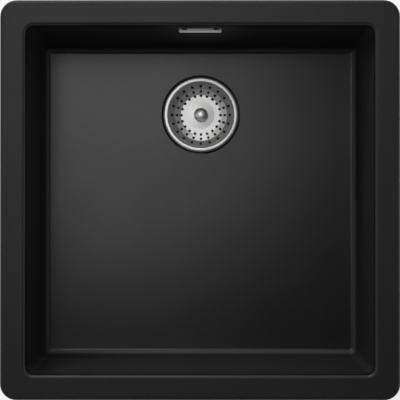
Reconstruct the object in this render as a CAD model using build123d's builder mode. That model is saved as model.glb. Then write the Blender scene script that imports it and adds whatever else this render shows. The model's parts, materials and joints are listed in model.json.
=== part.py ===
from build123d import *
from math import asin, cos, degrees, radians, sin, sqrt, tan
import os

# Square single bowl kitchen sink in stone composite, with strainer waste, overflow and fixing clips.
# Millimetres. The origin is the centre of the plane where the rim rests on the worktop.
# +X is right, +Y is towards the back wall with the overflow, +Z is up.

# Rim and bowl
sink_width = 456.0  # outside, left to right
sink_length = 456.0  # outside, front to back
sink_corner_r = 19.0
rim_width = 25.0  # flat of the rim, outer edge to bowl mouth
rim_thickness = 10.0
rim_edge_r = 3.5  # outer edge of the rim, on top
seat_chamfer = 0.8  # outer edge of the rim, underneath
mouth_edge_r = 4.5  # where the rim rolls into the bowl
bowl_depth = 200.0  # rim top to floor
bowl_corner_r = 9.0
floor_edge_r = 8.5
side_lean = 3.75  # how far a side wall comes in from mouth to floor
end_lean = 7.0  # the same for the front and back walls
wall = 8.0
floor_thickness = 9.0
shell_edge_r = 13.0  # outside, where the walls meet the floor
rim_root_r = 3.0  # outside, where the walls meet the rim

# Drain in the bowl floor
drain_setback = 83.5  # drain centre to the foot of the back wall
drain_recess_r = 46.8
drain_recess_depth = 3.4
drain_recess_edge_r = 2.4
drain_hole_r = 42.0
drain_boss_r = 60.0
drain_boss_height = 6.0

# Pressed stainless cup of the drain
flange_r = 45.0
flange_lip = 1.1  # height of the ring at its outer edge
flange_crown = 1.25  # height of the ring at its crown
flange_crown_r = 43.2
flange_inner_r = 41.3
flange_seal_height = 2.0
cup_r = 38.6
cup_sheet = 1.0
cup_bend_r = 0.8
cup_roll_r = 1.5  # where the ring rolls over into the cup
cup_seat_depth = 6.0  # foot of the conical seat for the strainer
cup_depth = 27.0
stopper_seat_r = 30.5
stopper_seat_drop = 2.5
throat_r = 27.0
throat_length = 4.5
hub_r = 6.5
hub_height = 2.0
spoke_width = 3.5
spoke_count = 3

# Strainer
basket_sheet = 0.8
basket_seat_r = 40.2  # where the dish meets the conical seat
basket_crease_r = 32.4
basket_crease_depth = 11.0
basket_floor_r = 25.2
basket_depth = 12.6
basket_dome_r = 17.2
basket_dome_rise = 0.6
basket_dome_flat_r = 6.0
basket_bend_r = 1.2
hole_r = 1.7
hole_count = 20
hole_rows = (24.3, 29.8, 36.0)  # radii of the three rings of holes
knob_r = 8.6
knob_crown_r = 16.0  # curve of the top of the knob
knob_edge_r = 3.0
knob_height = 12.0
knob_neck_r = 4.4
stem_r = 3.0
stem_shoulder_r = 5.0
stem_tail = 9.0  # stem below the stopper seat, through the hub
stopper_plate_r = 24.0
stopper_plate_sheet = 1.0
stopper_seal_height = 3.0
stopper_rise = 2.1  # top of the rubber disc above the foot of the cup
stopper_seal_r = 29.9
stopper_lip_r = 27.6
stopper_nut_height = 2.6
stopper_nut_width = 10.0  # across flats

# Waste body under the bowl
body_wall = 3.5
body_r = 41.0  # inside of the chamber
body_flange_r = 58.0
body_flange_thickness = 4.0
body_gasket_height = 3.0
body_chamber = 29.0  # gasket to foot of the chamber
funnel_slope = 15.0  # degrees
outlet_r = 20.5  # bore of the outlet
outlet_thread_r = 23.9  # G 1 1/2 male thread, over its crests
outlet_thread_length = 22.0
outlet_collar_r = 27.5
outlet_collar_height = 4.0
outlet_neck = 5.0  # funnel to collar
body_rib = 2.5
body_rib_drop = 13.0
body_rib_count = 6
flange_screw_circle_r = 34.9
flange_screw_count = 3
flange_screw_r = 2.0
flange_screw_head_r = 2.7
flange_screw_head = 2.0
flange_screw_length = 14.0
screw_post_r = 3.6

# Overflow through the back wall
cover_drop = 30.0  # rim top to the top edge of the cover
cover_width = 50.0
cover_height = 22.0  # top edge to the bend of the lip
cover_set_back = 3.4  # how far the top edge stands behind the face of the wall
cover_bend_set_back = 1.3  # the same at the bend of the lip
cover_lip = 2.2  # forward
cover_lip_drop = 0.4
cover_sheet = 1.2
cover_corner_r = 2.0
cover_panel_inset = 3.0  # border round the pressed panel
cover_panel_depth = 0.5
cover_screw_spacing = 36.6
cover_screw_drop = 11.5  # top edge of the cover to the screws
cover_screw_r = 2.0
cover_screw_head_r = 3.2
cover_screw_head = 1.6
cover_screw_socket_r = 1.6
cover_screw_socket = 1.0
cover_screw_length = 14.0
cover_post_r = 4.2
inlet_height = 7.0  # open slot above the cover
pocket_gap = 0.6  # round the cover
pocket_corner_r = 3.0
window_margin = 2.0  # pocket floor round the window
pocket_back = 0.8  # behind the top edge of the cover
pad_width = 70.0
pad_rise = 0.35  # flat pad outside, proud of the wall under the rim
pad_margin = 1.5  # pad below the housing
housing_width = 62.0
housing_flange = 3.0
housing_wall = 2.0
housing_depth = 11.0  # gasket to the back of the housing, inside the worktop cut-out
hopper_depth = 18.0  # the same under the worktop
hopper_gap = 1.0  # under the thickest worktop
hopper_height = 4.0  # upright back of the hopper
housing_box_margin = 4.5  # flange round the box
housing_corner_r = 4.0
overflow_gasket_height = 2.0

# Overflow pipe
pipe_r = 10.0
pipe_wall = 1.5
pipe_bend_r = 28.0
pipe_top_gap = 2.0  # under the pad
spigot_wall = 1.7
spigot_length = 22.0
o_ring_groove = 1.2
o_ring_height = 1.8
o_ring_above_tip = 5.0
port_drop = 37.0  # bowl floor to the axis of the overflow port
port_r = 14.0
port_length = 26.0
port_socket = 14.0
pipe_seal_height = 3.0
pipe_nut_r = 17.0
pipe_nut_end = 2.5
pipe_nut_length = 18.0
pipe_nut_rib_r = 1.4
pipe_nut_rib_count = 12

# Fixing clips under the rim
worktop_grip = 40.0  # thickest worktop that the clips reach under
clip_spacing = 220.0  # between the two clips of a side
clip_standoff = 6.2  # clip screw to the wall
clip_width = 12.0
clip_sheet = 2.5
clip_reach = 30.0
clip_nose_run = 6.0
clip_nose_rise = 6.0
clip_bend_r = 2.0
clip_screw_r = 2.5
clip_screw_head_width = 8.0  # across flats
clip_screw_head = 3.5
clip_screw_in = 9.0  # thread inside the insert
clip_boss_r = 6.5
clip_boss_height = 8.0
insert_r = 4.0
insert_length = 11.0

# Clearances
moving_gap = 0.3  # between a moving piece and its seat
slip_gap = 0.2  # push fits and slip fits
same_level = 0.001  # faces closer than this in height are level with each other

# Levels and walls worked out from the sizes above
rim_top = rim_thickness
floor_z = rim_top - bowl_depth
shell_z = floor_z - floor_thickness
bowl_mouth_width = sink_width - 2 * (rim_width + mouth_edge_r)
bowl_mouth_length = sink_length - 2 * (rim_width + mouth_edge_r)


def half_width(z):
    """Bowl wall inside, left and right of the middle, at height z."""
    return bowl_mouth_width / 2 - side_lean * (rim_top - z) / bowl_depth


def half_length(z):
    """Bowl wall inside, in front of and behind the middle, at height z."""
    return bowl_mouth_length / 2 - end_lean * (rim_top - z) / bowl_depth


drain_y = half_length(floor_z) - drain_setback
drain_floor = Plane(origin=(0, drain_y, floor_z))
drain_section = Plane(origin=(0, drain_y, floor_z), x_dir=(1, 0, 0), z_dir=(0, -1, 0))
drain_axis = Axis((0, drain_y, floor_z), (0, 0, 1))

# Overflow levels, in the plane through the middle of the sink
cover_top_z = rim_top - cover_drop
cover_bend_z = cover_top_z - cover_height
cover_top_y = half_length(cover_top_z) + cover_set_back
cover_bend_y = half_length(cover_bend_z) + cover_bend_set_back
pocket_top_z = cover_top_z + inlet_height
pocket_bottom_z = cover_bend_z - cover_lip_drop - cover_sheet - pocket_gap
pocket_y = cover_top_y + cover_sheet + pocket_back
pocket_width = cover_width + 2 * pocket_gap
pocket_height = pocket_top_z - pocket_bottom_z
pocket_z = (pocket_top_z + pocket_bottom_z) / 2
window_width = pocket_width - 2 * window_margin
window_height = pocket_height - 2 * window_margin
pad_y = half_length(0) + wall + pad_rise
gasket_y = pad_y + overflow_gasket_height
housing_y = gasket_y + housing_depth
hopper_y = gasket_y + hopper_depth
box_top_z = pocket_z + window_height / 2 + housing_wall
hopper_top_z = -worktop_grip - hopper_gap
hopper_shoulder_z = hopper_top_z - (hopper_depth - housing_depth)
box_bottom_z = hopper_shoulder_z - hopper_height
housing_top_z = box_top_z + housing_box_margin
housing_bottom_z = box_bottom_z - housing_box_margin
housing_height = housing_top_z - housing_bottom_z
housing_z = (housing_top_z + housing_bottom_z) / 2
pad_height = pad_margin - housing_bottom_z
cover_slope = Vector(0, cover_top_y - cover_bend_y, cover_height).normalized()
cover_face = Plane(
    origin=(0, cover_top_y, cover_top_z),
    x_dir=(1, 0, 0),
    z_dir=(0, -cover_slope.Z, cover_slope.Y),
)
cover_screw_x = cover_screw_spacing / 2
cover_screw_points = [(-cover_screw_x, -cover_screw_drop), (cover_screw_x, -cover_screw_drop)]

# Fixing clip places: name, screw axis, direction of the parked clip, degrees round to the wall
front_y = half_length(0) + wall + clip_standoff
side_x = half_width(0) + wall + clip_standoff
clip_offset = clip_spacing / 2
clip_places = {
    "clip_front_left": (-clip_offset, -front_y, (-1, 0, 0), 90),
    "clip_front_right": (clip_offset, -front_y, (1, 0, 0), 90),
    "clip_back_left": (-clip_offset, front_y, (-1, 0, 0), 270),
    "clip_back_right": (clip_offset, front_y, (1, 0, 0), 270),
    "clip_left_front": (-side_x, -clip_offset, (0, -1, 0), 0),
    "clip_left_back": (-side_x, clip_offset, (0, 1, 0), 0),
    "clip_right_front": (side_x, -clip_offset, (0, -1, 0), 180),
    "clip_right_back": (side_x, clip_offset, (0, 1, 0), 180),
}
clip_points = [(x, y) for x, y, parked, to_wall in clip_places.values()]
clip_boss_root = clip_standoff + wall / 2
clip_top_z = -worktop_grip - clip_nose_rise
clip_bottom_z = clip_top_z - clip_sheet

os.makedirs("parts", exist_ok=True)


def level_faces(builder, z):
    """Level faces of a part at height z, the largest last."""
    level = builder.faces().filter_by(Axis.Z)
    return level.filter_by(lambda face: abs(face.center().Z - z) < same_level).sort_by(SortBy.AREA)


# Bowl, moulded in one piece
with BuildPart() as bowl:
    with BuildSketch():
        RectangleRounded(sink_width, sink_length, sink_corner_r)
    extrude(amount=rim_thickness)
    fillet(bowl.faces().sort_by(Axis.Z)[-1].edges(), rim_edge_r)
    chamfer(bowl.faces().sort_by(Axis.Z)[0].edges(), seat_chamfer)
    for z in (0, shell_z):
        with BuildSketch(Plane.XY.offset(z)):
            RectangleRounded(
                2 * (half_width(z) + wall), 2 * (half_length(z) + wall), bowl_corner_r + wall
            )
    loft(ruled=True)
    fillet(bowl.faces().sort_by(Axis.Z)[0].edges(), shell_edge_r)
    fillet(level_faces(bowl, 0)[-1].inner_wires().edges(), rim_root_r)
    with BuildSketch():
        for clip_x, clip_y, parked, to_wall in clip_places.values():
            with Locations(Location((clip_x, clip_y, 0), (0, 0, to_wall))):
                Circle(clip_boss_r)
                Rectangle(clip_boss_root, 2 * clip_boss_r, align=(Align.MIN, Align.CENTER))
    extrude(amount=-clip_boss_height)
    with BuildSketch(Plane.XZ.offset(-pad_y)):
        with Locations((0, -pad_height / 2)):
            Rectangle(pad_width, pad_height)
    extrude(amount=wall)
    with BuildSketch(drain_floor.offset(-floor_thickness)):
        Circle(drain_boss_r)
    extrude(amount=-drain_boss_height)
    for z in (rim_top, floor_z):
        with BuildSketch(Plane.XY.offset(z)):
            RectangleRounded(2 * half_width(z), 2 * half_length(z), bowl_corner_r)
    loft(ruled=True, mode=Mode.SUBTRACT)
    fillet(level_faces(bowl, floor_z)[-1].edges(), floor_edge_r)
    fillet(level_faces(bowl, rim_top)[-1].inner_wires().edges(), mouth_edge_r)
    with BuildSketch(drain_floor):
        Circle(drain_recess_r)
    extrude(amount=-drain_recess_depth, mode=Mode.SUBTRACT)
    fillet(level_faces(bowl, floor_z)[-1].inner_wires().edges(), drain_recess_edge_r)
    with BuildSketch(drain_floor):
        Circle(drain_hole_r)
    extrude(amount=-2 * (floor_thickness + drain_boss_height), mode=Mode.SUBTRACT)
    with BuildSketch(Plane.XZ.offset(-pocket_y)):
        with Locations((0, pocket_z)):
            RectangleRounded(pocket_width, pocket_height, pocket_corner_r)
    extrude(amount=2 * wall, mode=Mode.SUBTRACT)
    with BuildSketch(Plane.XZ.offset(-pad_y)):
        with Locations((0, pocket_z)):
            RectangleRounded(window_width, window_height, pocket_corner_r)
    extrude(amount=wall, mode=Mode.SUBTRACT)
    with Locations(*[(x, y, -clip_boss_height) for x, y in clip_points]):
        Cylinder(
            insert_r,
            insert_length,
            align=(Align.CENTER, Align.CENTER, Align.MIN),
            mode=Mode.SUBTRACT,
        )
bowl.part.label = "bowl"
export_step(bowl.part, "parts/bowl.step")


# Levels of the drain, measured from the bowl floor
flange_base = flange_seal_height - drain_recess_depth
flange_edge = flange_base + flange_lip
throat_top = -cup_depth - stopper_seat_drop
throat_bottom = throat_top - throat_length
stopper_slope = stopper_seat_drop / (stopper_seat_r - throat_r)
cup_seat_slope = (cup_seat_depth + flange_edge) / (flange_inner_r - cup_r)
flange_screw_start = 90 + 180 / flange_screw_count

# Flat rubber ring under the flange
with BuildPart() as flange_seal:
    with BuildSketch(drain_floor.offset(-drain_recess_depth)):
        Circle(flange_r - slip_gap)
        Circle(drain_hole_r + slip_gap, mode=Mode.SUBTRACT)
    extrude(amount=flange_seal_height)
flange_seal.part.label = "flange_seal"
export_step(flange_seal.part, "parts/flange_seal.step")

# Pressed stainless cup: crowned ring, conical seat, stopper seat, throat with a spoked hub
with BuildPart() as drain_flange:
    with BuildSketch(drain_section) as cup_section:
        with BuildLine():
            ThreePointArc(
                (flange_r, flange_edge),
                (flange_crown_r, flange_base + flange_crown),
                (flange_inner_r, flange_edge),
            )
            Polyline(
                (flange_inner_r, flange_edge),
                (flange_inner_r, flange_base),
                (flange_r, flange_base),
                (flange_r, flange_edge),
            )
        make_face()
        with BuildLine():
            sheet = FilletPolyline(
                (flange_inner_r, flange_edge),
                (cup_r, -cup_seat_depth),
                (cup_r, -cup_depth),
                (stopper_seat_r, -cup_depth),
                (throat_r, throat_top),
                (throat_r, throat_bottom),
                radius=cup_bend_r,
            )
            offset(sheet, amount=cup_sheet, side=Side.LEFT)
        make_face()
        fillet(cup_section.vertices().sort_by_distance((flange_inner_r, flange_edge))[0], cup_roll_r)
    revolve(axis=drain_axis)
    with BuildSketch(drain_floor.offset(throat_bottom)):
        Circle(hub_r)
        with PolarLocations(throat_r / 2, spoke_count, start_angle=90):
            Rectangle(throat_r + cup_sheet, spoke_width)
        Circle(stem_r + moving_gap, mode=Mode.SUBTRACT)
    extrude(amount=hub_height)
    with BuildSketch(drain_floor.offset(-cup_depth)):
        with PolarLocations(flange_screw_circle_r, flange_screw_count, start_angle=flange_screw_start):
            Circle(flange_screw_r + slip_gap)
    extrude(amount=-2 * cup_sheet, mode=Mode.SUBTRACT)
drain_flange.part.label = "drain_flange"
export_step(drain_flange.part, "parts/drain_flange.step")

# Strainer dish, pressed from sheet and punched
basket_inset = (moving_gap + basket_sheet) / sqrt(1 + cup_seat_slope**2)
basket_rim_r = basket_seat_r - basket_inset * cup_seat_slope
basket_rim = flange_edge - cup_seat_slope * (flange_inner_r - basket_seat_r) + basket_inset
basket_dome = basket_dome_rise - basket_depth
with BuildPart() as strainer_basket:
    with BuildSketch(drain_section):
        with BuildLine():
            sheet = FilletPolyline(
                (basket_rim_r, basket_rim),
                (basket_crease_r, -basket_crease_depth),
                (basket_floor_r, -basket_depth),
                (basket_dome_r, -basket_depth),
                (basket_dome_flat_r, basket_dome),
                (stem_r, basket_dome),
                radius=basket_bend_r,
            )
            offset(sheet, amount=basket_sheet, side=Side.LEFT)
        make_face()
    revolve(axis=drain_axis)
    with BuildSketch(drain_floor):
        for row_r in hole_rows:
            with PolarLocations(row_r, hole_count, start_angle=90):
                Circle(hole_r)
    extrude(amount=-2 * basket_depth, mode=Mode.SUBTRACT)
strainer_basket.part.label = "strainer_basket"
export_step(strainer_basket.part, "parts/strainer_basket.step")

# Turned knob on the dome of the dish
knob_top = basket_dome + knob_height
knob_crown_z = knob_top - knob_crown_r
knob_edge_x = knob_r - knob_edge_r
knob_crown_turn = asin(knob_edge_x / (knob_crown_r - knob_edge_r))
knob_belly = knob_crown_z + (knob_crown_r - knob_edge_r) * cos(knob_crown_turn)
crown_degrees = degrees(knob_crown_turn)
knob_waist = (basket_dome + knob_belly) / 2
stem_top = knob_belly + stem_r
with BuildPart() as strainer_knob:
    with BuildSketch(drain_section):
        with BuildLine():
            Polyline((0, knob_top), (0, basket_dome), (knob_neck_r, basket_dome), (knob_neck_r, knob_waist))
            TangentArc((knob_r, knob_belly), (knob_neck_r, knob_waist), tangent=(0, -1))
            CenterArc((knob_edge_x, knob_belly), knob_edge_r, 0, 90 - crown_degrees)
            CenterArc((0, knob_crown_z), knob_crown_r, 90 - crown_degrees, crown_degrees)
        make_face()
    revolve(axis=drain_axis)
    with BuildSketch(drain_floor.offset(basket_dome)):
        Circle(stem_r)
    extrude(amount=stem_top - basket_dome, mode=Mode.SUBTRACT)
strainer_knob.part.label = "strainer_knob"
export_step(strainer_knob.part, "parts/strainer_knob.step")

# Stem through dish, stopper and hub
shoulder_top = basket_dome - basket_sheet
stopper_top = stopper_rise - cup_depth
shoulder_bottom = stopper_top + stopper_plate_sheet
stopper_bottom = stopper_top - stopper_seal_height
stopper_nut_bottom = stopper_bottom - stopper_nut_height
stem_bottom = throat_bottom - stem_tail
with BuildPart() as strainer_stem:
    with BuildSketch(drain_section):
        with BuildLine():
            Polyline(
                (0, stem_top),
                (stem_r, stem_top),
                (stem_r, shoulder_top),
                (stem_shoulder_r, shoulder_top),
                (stem_shoulder_r, shoulder_bottom),
                (stem_r, shoulder_bottom),
                (stem_r, stem_bottom + stem_r),
            )
            RadiusArc((stem_r, stem_bottom + stem_r), (0, stem_bottom), stem_r)
            Line((0, stem_bottom), (0, stem_top))
        make_face()
    revolve(axis=drain_axis)
strainer_stem.part.label = "strainer_stem"
export_step(strainer_stem.part, "parts/strainer_stem.step")

# Stopper under the dish: backing plate, rubber disc with a sealing lip, nut
with BuildPart() as stopper_plate:
    with BuildSketch(drain_floor.offset(stopper_top)):
        Circle(stopper_plate_r)
        Circle(stem_r, mode=Mode.SUBTRACT)
    extrude(amount=stopper_plate_sheet)
stopper_plate.part.label = "stopper_plate"
export_step(stopper_plate.part, "parts/stopper_plate.step")

stopper_lift = moving_gap * sqrt(1 + stopper_slope**2)
stopper_edge = -cup_depth - stopper_slope * (stopper_seat_r - stopper_seal_r) + stopper_lift
stopper_lip = -cup_depth - stopper_slope * (stopper_seat_r - stopper_lip_r) + stopper_lift
with BuildPart() as stopper_seal:
    with BuildSketch(drain_section):
        with BuildLine():
            Polyline(
                (stem_r, stopper_top),
                (stopper_plate_r, stopper_top),
                (stopper_seal_r, (stopper_top + stopper_edge) / 2),
                (stopper_seal_r, stopper_edge),
                (stopper_lip_r, stopper_lip),
                (stopper_plate_r, stopper_bottom),
                (stem_r, stopper_bottom),
                close=True,
            )
        make_face()
    revolve(axis=drain_axis)
stopper_seal.part.label = "stopper_seal"
export_step(stopper_seal.part, "parts/stopper_seal.step")

with BuildPart() as stopper_nut:
    with BuildSketch(drain_floor.offset(stopper_nut_bottom)):
        RegularPolygon(stopper_nut_width / 2, 6, major_radius=False)
        Circle(stem_r, mode=Mode.SUBTRACT)
    extrude(amount=stopper_nut_height)
stopper_nut.part.label = "stopper_nut"
export_step(stopper_nut.part, "parts/stopper_nut.step")

# Thick rubber ring between the bowl and the waste body
gasket_top = -floor_thickness - drain_boss_height
body_top = gasket_top - body_gasket_height
with BuildPart() as body_gasket:
    with BuildSketch(drain_floor.offset(body_top)):
        Circle(body_flange_r - slip_gap)
        Circle(drain_hole_r + slip_gap, mode=Mode.SUBTRACT)
    extrude(amount=body_gasket_height)
body_gasket.part.label = "body_gasket"
export_step(body_gasket.part, "parts/body_gasket.step")

# Waste body: clamping flange with ribs, chamber, funnel, outlet thread, overflow port, screw posts
body_shell_r = body_r + body_wall
flange_bottom = body_top - body_flange_thickness
chamber_bottom = body_top - body_chamber
funnel_rate = tan(radians(funnel_slope))
funnel_wall = body_wall / cos(radians(funnel_slope))
funnel_top = chamber_bottom + (body_shell_r - body_r) * funnel_rate - funnel_wall
funnel_bottom = chamber_bottom - (body_r - outlet_thread_r) * funnel_rate - funnel_wall
collar_top = funnel_bottom - outlet_neck
collar_bottom = collar_top - outlet_collar_height
outlet_bottom = collar_bottom - outlet_thread_length
post_top = -cup_depth - cup_sheet
post_bottom = chamber_bottom - (body_r - flange_screw_circle_r + screw_post_r) * funnel_rate - body_wall / 4
body_root_r = body_r + body_wall / 2
port_root = (body_r + sqrt(body_shell_r**2 - port_r**2)) / 2
port_end = body_shell_r + port_length
pipe_bore_r = pipe_r - pipe_wall
port_plane = Plane(origin=(0, drain_y, floor_z - port_drop), x_dir=(1, 0, 0), z_dir=(0, 1, 0))
rib_angles = [360 / body_rib_count * index for index in range(body_rib_count)]
with BuildPart() as waste_body:
    with BuildSketch(drain_section):
        with BuildLine():
            Polyline(
                (body_r, body_top),
                (body_flange_r, body_top),
                (body_flange_r, flange_bottom),
                (body_shell_r, flange_bottom),
                (body_shell_r, funnel_top),
                (outlet_thread_r, funnel_bottom),
                (outlet_thread_r, collar_top),
                (outlet_collar_r, collar_top),
                (outlet_collar_r, collar_bottom),
                (outlet_thread_r, collar_bottom),
                (outlet_thread_r, outlet_bottom),
                (outlet_r, outlet_bottom),
                (outlet_r, chamber_bottom - (body_r - outlet_r) * funnel_rate),
                (body_r, chamber_bottom),
                close=True,
            )
        make_face()
    revolve(axis=drain_axis)
    for angle in rib_angles:
        outward = (cos(radians(angle)), sin(radians(angle)), 0)
        sideways = (sin(radians(angle)), -cos(radians(angle)), 0)
        with BuildSketch(Plane(origin=drain_section.origin, x_dir=outward, z_dir=sideways)):
            with BuildLine():
                Polyline(
                    (body_root_r, flange_bottom),
                    (body_flange_r - body_rib, flange_bottom),
                    (body_shell_r, flange_bottom - body_rib_drop),
                    (body_root_r, flange_bottom - body_rib_drop),
                    close=True,
                )
            make_face()
        extrude(amount=body_rib / 2, both=True)
    with BuildSketch(port_plane.offset(port_root)):
        Circle(port_r)
    extrude(amount=port_end - port_root)
    with BuildSketch(port_plane.offset(port_end)):
        Circle(pipe_bore_r)
    extrude(amount=-port_length - 2 * body_wall, mode=Mode.SUBTRACT)
    with BuildSketch(port_plane.offset(port_end)):
        Circle(pipe_r + slip_gap)
    extrude(amount=-port_socket, mode=Mode.SUBTRACT)
    with BuildSketch(drain_floor.offset(post_top)):
        with PolarLocations(flange_screw_circle_r, flange_screw_count, start_angle=flange_screw_start):
            Circle(screw_post_r)
    extrude(amount=post_bottom - post_top)
    with BuildSketch(drain_floor.offset(post_top)):
        with PolarLocations(flange_screw_circle_r, flange_screw_count, start_angle=flange_screw_start):
            Circle(flange_screw_r)
    extrude(amount=cup_sheet - flange_screw_length, mode=Mode.SUBTRACT)
waste_body.part.label = "waste_body"
export_step(waste_body.part, "parts/waste_body.step")

# Three screws that draw the cup and the body together
with BuildPart() as flange_screws:
    with BuildSketch(drain_floor.offset(-cup_depth)):
        with PolarLocations(flange_screw_circle_r, flange_screw_count, start_angle=flange_screw_start):
            Circle(flange_screw_head_r)
    extrude(amount=flange_screw_head)
    with BuildSketch(drain_floor.offset(-cup_depth)):
        with PolarLocations(flange_screw_circle_r, flange_screw_count, start_angle=flange_screw_start):
            Circle(flange_screw_r)
    extrude(amount=-flange_screw_length)
flange_screws.part.label = "flange_screws"
export_step(flange_screws.part, "parts/flange_screws.step")

# Overflow cover: bent plate with a pressed panel, leaning back into its pocket
lip_y = cover_bend_y - cover_lip
lip_z = cover_bend_z - cover_lip_drop
cover_outline = (cover_height + cover_lip_drop + cover_sheet + cover_lip * cover_slope.Y) / cover_slope.Z
panel_height = cover_height - cover_panel_inset
with BuildPart() as overflow_cover:
    with BuildSketch(Plane.YZ):
        with BuildLine():
            sheet = FilletPolyline(
                (cover_top_y, cover_top_z),
                (cover_bend_y, cover_bend_z),
                (lip_y, lip_z),
                radius=cover_sheet,
            )
            offset(sheet, amount=cover_sheet, side=Side.LEFT)
        make_face()
    extrude(amount=cover_width / 2, both=True)
    with BuildSketch(cover_face):
        with Locations((0, -cover_outline / 2)):
            RectangleRounded(cover_width, cover_outline, cover_corner_r)
    extrude(amount=2 * wall, both=True, mode=Mode.INTERSECT)
    with BuildSketch():
        with Locations((0, lip_y + cover_outline / 2)):
            RectangleRounded(cover_width, cover_outline, cover_corner_r)
    extrude(amount=2 * lip_z, mode=Mode.INTERSECT)
    with BuildSketch(cover_face):
        with Locations((0, -cover_height / 2)):
            RectangleRounded(cover_width - 2 * cover_panel_inset, panel_height, cover_corner_r)
    extrude(amount=-cover_panel_depth, mode=Mode.SUBTRACT)
    with BuildSketch(cover_face):
        with Locations(*cover_screw_points):
            Circle(cover_screw_r + slip_gap)
    extrude(amount=-2 * cover_sheet, mode=Mode.SUBTRACT)
overflow_cover.part.label = "overflow_cover"
export_step(overflow_cover.part, "parts/overflow_cover.step")

# Two screws of the cover, with sockets
with BuildPart() as overflow_screws:
    with BuildSketch(cover_face.offset(-cover_panel_depth)):
        with Locations(*cover_screw_points):
            Circle(cover_screw_head_r)
    extrude(amount=cover_screw_head)
    with BuildSketch(cover_face.offset(-cover_panel_depth)):
        with Locations(*cover_screw_points):
            Circle(cover_screw_r)
    extrude(amount=-cover_screw_length)
    with BuildSketch(cover_face.offset(cover_screw_head - cover_panel_depth)):
        with Locations(*cover_screw_points):
            Circle(cover_screw_socket_r)
    extrude(amount=-cover_screw_socket, mode=Mode.SUBTRACT)
overflow_screws.part.label = "overflow_screws"
export_step(overflow_screws.part, "parts/overflow_screws.step")

# Rubber frame between the pad and the overflow housing
with BuildPart() as overflow_gasket:
    with BuildSketch(Plane.XZ.offset(-gasket_y)):
        with Locations((0, housing_z)):
            RectangleRounded(housing_width, housing_height, housing_corner_r)
        with Locations((0, pocket_z)):
            RectangleRounded(window_width, window_height, pocket_corner_r, mode=Mode.SUBTRACT)
    extrude(amount=overflow_gasket_height)
overflow_gasket.part.label = "overflow_gasket"
export_step(overflow_gasket.part, "parts/overflow_gasket.step")


def box_outline(inset):
    """Side view of the overflow box, drawn in by inset on all sides but the front."""
    slope_inset = inset * (sqrt(2) - 1)
    return [
        (gasket_y, box_top_z - inset),
        (housing_y - inset, box_top_z - inset),
        (housing_y - inset, hopper_top_z - slope_inset),
        (hopper_y - inset, hopper_shoulder_z - slope_inset),
        (hopper_y - inset, box_bottom_z + inset),
        (gasket_y, box_bottom_z + inset),
    ]


# Overflow housing: flange, box with a hopper, spigot pointing down and two posts for the screws
box_width = housing_width - 2 * housing_box_margin
spigot_r = pipe_bore_r - slip_gap
spigot_y = gasket_y + slip_gap + spigot_r
spigot_bottom_z = box_bottom_z - spigot_length
groove_r = spigot_r - o_ring_groove
o_ring_z = spigot_bottom_z + o_ring_above_tip
cover_screw_y = cover_top_y - cover_screw_drop * cover_slope.Y
post_reach = (housing_y - housing_wall / 2 - cover_screw_y) / cover_slope.Z - cover_sheet
with BuildPart() as overflow_housing:
    with BuildSketch(Plane.YZ):
        with BuildLine():
            Polyline(*box_outline(0), close=True)
        make_face()
    extrude(amount=box_width / 2, both=True)
    behind_gasket = overflow_housing.edges().filter_by(lambda edge: edge.center().Y > gasket_y + same_level)
    fillet(behind_gasket, housing_wall)
    with BuildSketch(Plane.XZ.offset(-gasket_y)):
        with Locations((0, housing_z)):
            RectangleRounded(housing_width, housing_height, housing_corner_r)
    extrude(amount=-housing_flange)
    with BuildSketch(Plane.XY.offset(spigot_bottom_z)):
        with Locations((0, spigot_y)):
            Circle(spigot_r)
    extrude(amount=spigot_length + housing_wall)
    with BuildSketch(Plane.YZ):
        with BuildLine():
            Polyline(*box_outline(housing_wall), close=True)
        make_face()
    extrude(amount=box_width / 2 - housing_wall, both=True, mode=Mode.SUBTRACT)
    with BuildSketch(Plane.XY.offset(spigot_bottom_z)):
        with Locations((0, spigot_y)):
            Circle(spigot_r - spigot_wall)
    extrude(amount=spigot_length + 2 * housing_wall, mode=Mode.SUBTRACT)
    with BuildSketch(Plane.XY.offset(o_ring_z - o_ring_height / 2)):
        with Locations((0, spigot_y)):
            Circle(spigot_r)
            Circle(groove_r, mode=Mode.SUBTRACT)
    extrude(amount=o_ring_height, mode=Mode.SUBTRACT)
    with BuildSketch(cover_face.offset(-cover_sheet)):
        with Locations(*cover_screw_points):
            Circle(cover_post_r)
    extrude(amount=-post_reach)
    with BuildSketch(cover_face.offset(-cover_sheet)):
        with Locations(*cover_screw_points):
            Circle(cover_screw_r)
    extrude(amount=cover_sheet - cover_panel_depth - cover_screw_length, mode=Mode.SUBTRACT)
overflow_housing.part.label = "overflow_housing"
export_step(overflow_housing.part, "parts/overflow_housing.step")

# Ring in the groove of the spigot
with BuildPart() as overflow_o_ring:
    with BuildSketch(Plane.XY.offset(o_ring_z - o_ring_height / 2)):
        with Locations((0, spigot_y)):
            Circle(pipe_bore_r)
            Circle(groove_r, mode=Mode.SUBTRACT)
    extrude(amount=o_ring_height)
overflow_o_ring.part.label = "overflow_o_ring"
export_step(overflow_o_ring.part, "parts/overflow_o_ring.step")

# Rigid overflow pipe, from the spigot down to the port of the waste body
port_z = floor_z - port_drop
port_end_y = drain_y + port_end
pipe_end_y = port_end_y - port_socket + slip_gap
pipe_top_z = -pad_height - pipe_top_gap
with BuildPart() as overflow_pipe:
    with BuildLine() as pipe_path:
        FilletPolyline(
            (0, pipe_end_y, port_z),
            (0, spigot_y, port_z),
            (0, spigot_y, pipe_top_z),
            radius=pipe_bend_r,
        )
    with BuildSketch(Plane(origin=(0, pipe_end_y, port_z), x_dir=(1, 0, 0), z_dir=(0, 1, 0))):
        Circle(pipe_r)
        Circle(pipe_bore_r, mode=Mode.SUBTRACT)
    sweep(path=pipe_path.wire())
overflow_pipe.part.label = "overflow_pipe"
export_step(overflow_pipe.part, "parts/overflow_pipe.step")

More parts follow.
